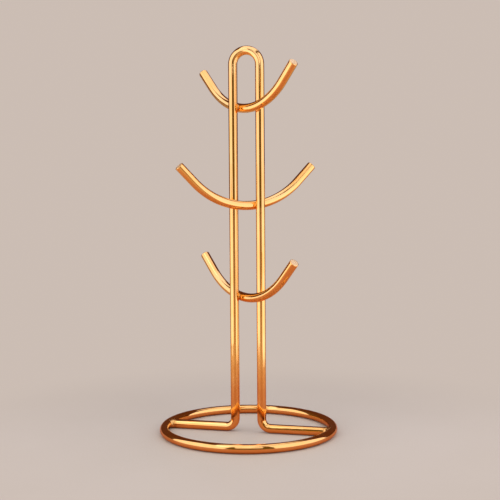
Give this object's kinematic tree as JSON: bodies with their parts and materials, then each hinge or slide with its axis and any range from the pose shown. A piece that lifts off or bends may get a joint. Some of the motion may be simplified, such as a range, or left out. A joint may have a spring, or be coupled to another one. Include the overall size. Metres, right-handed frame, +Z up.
{
  "type": "mug tree",
  "caption": "Free-standing mug tree: a round rod ring base, a tall hairpin upright on two legs, and bowed rods welded across it whose turned-up ends hold mugs by the handle.",
  "frame": {"origin": "on the table plane, at the centre of the base ring", "axes": "+Z up, +X to the right along the line of the two legs, +Y to the back; the uprights stand in the XZ plane"},
  "size_m": [0.158, 0.158, 0.3415],
  "materials": {
    "gold_finish": "mirror-polished gold-tone plating on steel rod",
    "weld_metal": "plated weld metal, satin, slightly rippled"
  },
  "bodies": {
    "root": {"base_ring": "gold_finish", "ring_seam_weld": "weld_metal", "upright_frame": "gold_finish", "left_leg_weld": "weld_metal", "right_leg_weld": "weld_metal", "top_hook_rod": "gold_finish", "top_left_weld": "weld_metal", "top_right_weld": "weld_metal", "middle_hook_rod": "gold_finish", "middle_left_weld": "weld_metal", "middle_right_weld": "weld_metal", "bottom_hook_rod": "gold_finish", "bottom_left_weld": "weld_metal", "bottom_right_weld": "weld_metal"}
  },
  "joints": []
}
